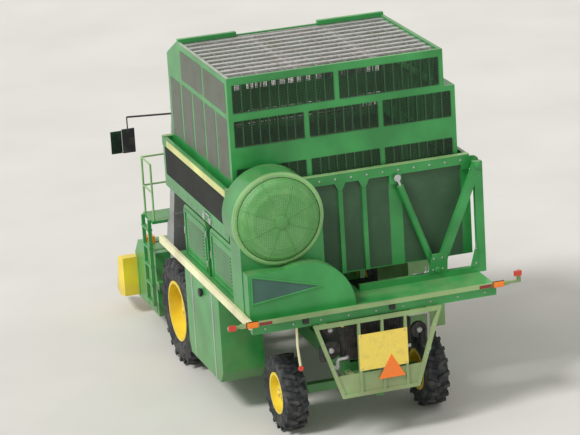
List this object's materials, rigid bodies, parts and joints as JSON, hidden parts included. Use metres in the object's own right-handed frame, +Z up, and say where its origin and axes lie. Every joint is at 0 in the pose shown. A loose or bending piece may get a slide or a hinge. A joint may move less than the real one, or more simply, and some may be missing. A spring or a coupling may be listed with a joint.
{
  "type": "cotton harvester",
  "caption": "Self-propelled spindle cotton picker with a telescoping mesh basket that tips to the side, a raised cab, a row picking head and steered rear wheels.",
  "frame": {"origin": "middle of the bounding box, at the ground", "axes": "+X forward, +Y to the machine's left, +Z up"},
  "size_m": [8.5, 4.8, 5.8],
  "materials": {
    "green_paint": "glossy, dusty",
    "pale_green_paint": "satin, dusty",
    "yellow_paint": "glossy",
    "cream_paint": "satin",
    "dark_metal": "oily, dark",
    "zinc_sheet": "galvanised",
    "rod_chrome": "polished",
    "tyre": "matt, dusty",
    "black_plastic": "matt",
    "seat_vinyl": "satin",
    "cab_dark": "satin",
    "window_glass": "tinted",
    "amber_lens": "clear lens",
    "red_lens": "clear lens",
    "orange_sign": "reflective"
  },
  "bodies": {
    "chassis": {"main_frame": "green_paint", "engine_block": "dark_metal", "front_axle": "green_paint", "rear_axle": "green_paint", "deck": "green_paint", "side_rail": "cream_paint", "left_tank": "green_paint", "right_panel": "pale_green_paint", "screen_housing": "green_paint", "rotary_screen": "green_paint", "lower_cowl": "green_paint", "side_panels": "green_paint", "support_frames": "green_paint", "light_bar": "pale_green_paint", "amber_lamps": "amber_lens", "red_lamps": "red_lens", "rear_guard": "pale_green_paint", "yellow_plate": "yellow_paint", "slow_sign": "orange_sign", "cab_shell": "cab_dark", "cab_roof": "green_paint", "cab_glass": "window_glass", "cab_seat": "seat_vinyl", "cab_column": "black_plastic", "platform": "green_paint", "handrails": "pale_green_paint", "mirrors": "black_plastic", "beacon": "black_plastic", "duct_boots": "zinc_sheet", "upper_ducts": "zinc_sheet"},
    "cab_door": {"cab_door": "green_paint", "door_glass": "window_glass"},
    "drive_wheel_left": {"drive_tyre_left": "tyre", "drive_rim_left": "yellow_paint"},
    "drive_wheel_right": {"drive_tyre_right": "tyre", "drive_rim_right": "yellow_paint"},
    "knuckle_left": {"knuckle_left": "green_paint"},
    "knuckle_right": {"knuckle_right": "green_paint"},
    "tie_rod": {"tie_rod": "green_paint"},
    "steer_wheel_left": {"steer_tyre_left": "tyre", "steer_rim_left": "yellow_paint"},
    "steer_wheel_right": {"steer_tyre_right": "tyre", "steer_rim_right": "yellow_paint"},
    "lower_links": {"lower_links": "green_paint"},
    "upper_links": {"upper_links": "green_paint"},
    "head": {"head_frame": "green_paint", "picking_units": "green_paint", "row_dividers": "yellow_paint", "lower_ducts": "zinc_sheet"},
    "basket": {"basket_floor": "green_paint", "basket_walls": "green_paint", "basket_stripe": "yellow_paint"},
    "basket_top": {"upper_walls": "green_paint", "roof_grille": "zinc_sheet"},
    "dump_barrels": {"dump_barrels": "green_paint"},
    "dump_rods": {"dump_rods": "rod_chrome"}
  },
  "joints": [
    {"name": "drive_spin_left", "type": "hinge", "parent": "chassis", "child": "drive_wheel_left", "pos_m": [0.65, 1.62, 0.9], "axis": [0, 1, 0], "continuous": true},
    {"name": "drive_spin_right", "type": "hinge", "parent": "chassis", "child": "drive_wheel_right", "pos_m": [0.65, -1.62, 0.9], "axis": [0, 1, 0], "continuous": true},
    {"name": "steer_left", "type": "hinge", "parent": "chassis", "child": "knuckle_left", "pos_m": [-3.05, 0.92, 0.6], "axis": [0, 0, 1], "range_deg": [-38, 38]},
    {"name": "steer_right", "type": "hinge", "parent": "chassis", "child": "knuckle_right", "pos_m": [-3.05, -0.92, 0.6], "axis": [0, 0, 1], "range_deg": [-38, 38]},
    {"name": "tie_rod_slide", "type": "slide", "parent": "chassis", "child": "tie_rod", "axis": [0, 1, 0], "range_m": [-0.126, 0.126]},
    {"name": "steer_spin_left", "type": "hinge", "parent": "knuckle_left", "child": "steer_wheel_left", "pos_m": [-3.05, 1.18, 0.6], "axis": [0, 1, 0], "continuous": true},
    {"name": "steer_spin_right", "type": "hinge", "parent": "knuckle_right", "child": "steer_wheel_right", "pos_m": [-3.05, -1.18, 0.6], "axis": [0, 1, 0], "continuous": true},
    {"name": "header_lift", "type": "hinge", "parent": "chassis", "child": "lower_links", "pos_m": [1.3, 0, 1], "axis": [0, -1, 0], "range_deg": [0, 34]},
    {"name": "upper_link_swing", "type": "hinge", "parent": "chassis", "child": "upper_links", "pos_m": [1.3, 0, 1.35], "axis": [0, -1, 0], "range_deg": [0, 34]},
    {"name": "header_level", "type": "hinge", "parent": "lower_links", "child": "head", "pos_m": [1.87063, 0, 0.81459], "axis": [0, -1, 0], "range_deg": [-34, 0]},
    {"name": "basket_dump", "type": "hinge", "parent": "chassis", "child": "basket", "pos_m": [-1.475, -2.05, 3.95], "axis": [1, 0, 0], "range_deg": [0, 100]},
    {"name": "dump_barrel_swing", "type": "hinge", "parent": "chassis", "child": "dump_barrels", "pos_m": [-1.475, -1.3, 2.35], "axis": [1, 0, 0], "range_deg": [0, 38]},
    {"name": "dump_rod_slide", "type": "slide", "parent": "dump_barrels", "child": "dump_rods", "axis": [0, 0.3344, 0.9424], "range_m": [0, 1.4]},
    {"name": "basket_extend", "type": "slide", "parent": "basket", "child": "basket_top", "axis": [0, 0, 1], "range_m": [-0.75, 0]},
    {"name": "cab_door_hinge", "type": "hinge", "parent": "chassis", "child": "cab_door", "pos_m": [1.47, 0.842, 3.1], "axis": [0, 0, 1], "range_deg": [0, 80]}
  ],
  "couplings": [
    {"joint": "steer_right", "follows": "steer_left", "ratio": 1},
    {"joint": "tie_rod_slide", "follows": "steer_left", "m_per_rad": 0.18566},
    {"joint": "upper_link_swing", "follows": "header_lift", "ratio": 1},
    {"joint": "header_level", "follows": "header_lift", "ratio": -1},
    {"joint": "dump_barrel_swing", "follows": "basket_dump", "ratio": 0.373},
    {"joint": "dump_rod_slide", "follows": "basket_dump", "m_per_rad": 0.797}
  ]
}
